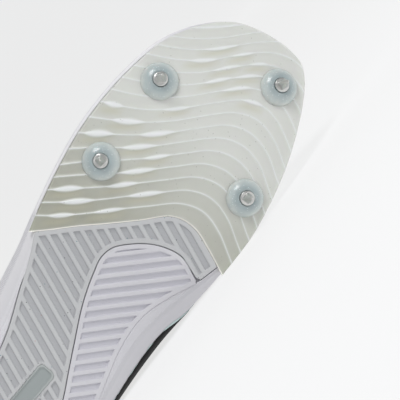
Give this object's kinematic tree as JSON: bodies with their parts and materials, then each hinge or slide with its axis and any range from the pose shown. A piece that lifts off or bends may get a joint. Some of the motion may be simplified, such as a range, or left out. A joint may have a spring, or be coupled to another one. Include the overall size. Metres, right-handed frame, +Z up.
{
  "type": "track spike shoe",
  "caption": "Low-cut running shoe for track races, with a ribbed forefoot plate, screw-in spikes and a grooved rear tread, lying on its side.",
  "frame": {"origin": "bottom centre of the bounding box of the shoe lying on its medial side", "axes": "+X from heel to toe, +Z up and out of the lateral side, and the sole faces -Y"},
  "size_m": [0.2836, 0.1046, 0.1009],
  "materials": {
    "foam": "moulded foam, satin skin",
    "plate": "moulded translucent plastic, smooth",
    "steel": "turned and ground steel",
    "rubber": "moulded rubber with fine coloured specks",
    "badge": "smooth moulded rubber",
    "mesh": "fine engineered mesh",
    "film": "thin bonded film",
    "black_film": "thin bonded film",
    "lining": "soft knitted lining",
    "lace": "flat woven lace"
  },
  "bodies": {
    "root": {"midsole": "foam", "plate": "plate", "spike_1": "steel", "spike_2": "steel", "spike_3": "steel", "spike_4": "steel", "rubber_pad": "rubber", "foam_tread": "foam", "badge": "badge", "upper": "mesh", "toe_cap": "film", "heel_counter": "film", "eyestay": "film", "side_band_lateral": "black_film", "side_band_medial": "black_film", "tongue": "lining", "insole": "lining", "laces": "lace"}
  },
  "joints": []
}
